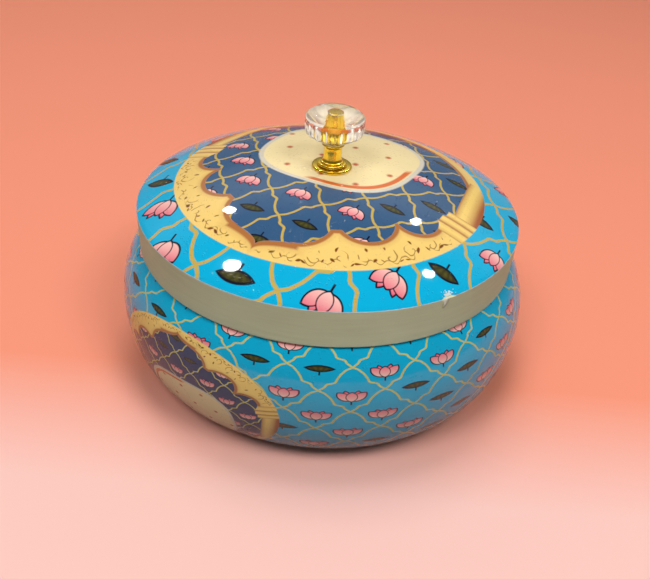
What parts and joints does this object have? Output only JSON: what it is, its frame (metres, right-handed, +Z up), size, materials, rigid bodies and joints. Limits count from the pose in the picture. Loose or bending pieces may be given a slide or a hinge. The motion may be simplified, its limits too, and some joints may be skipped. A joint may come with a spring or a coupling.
{
  "type": "round lidded papier-mache box",
  "caption": "Round lidded papier-mache box with a printed lacquered skin, a lift-off lid and a fluted crystal knob.",
  "frame": {"origin": "centre of the flat face that the box stands on", "axes": "+Z up along the box's axis; -Y is the side that faces the viewer"},
  "size_m": [0.21, 0.21, 0.1386],
  "materials": {
    "pulp": "matt moulded papier-mache",
    "bare_band": "bare smoothed papier-mache",
    "printed_skin": "printed paper under clear gloss lacquer",
    "lining_paper": "plain lacquered lining",
    "base_board": "pressed board with black lacquer",
    "gold_plate": "polished gold plate",
    "crystal": "clear cut crystal",
    "screw_steel": "bright zinc plate"
  },
  "bodies": {
    "bowl": {"bowl_shell": "pulp", "bowl_collar": "pulp", "bowl_print": "printed_skin", "bowl_lining": "lining_paper", "bowl_base": "base_board"},
    "lid": {"lid_rim": "bare_band", "lid_dome": "pulp", "lid_print": "printed_skin", "lid_lining": "lining_paper", "knob_base": "gold_plate", "knob_post": "gold_plate", "knob_crystal": "crystal", "knob_screw": "screw_steel", "knob_washer": "screw_steel"}
  },
  "joints": [
    {"name": "lid_lift", "type": "slide", "parent": "bowl", "child": "lid", "axis": [0, 0, 1], "range_m": [0, 0.12]}
  ]
}
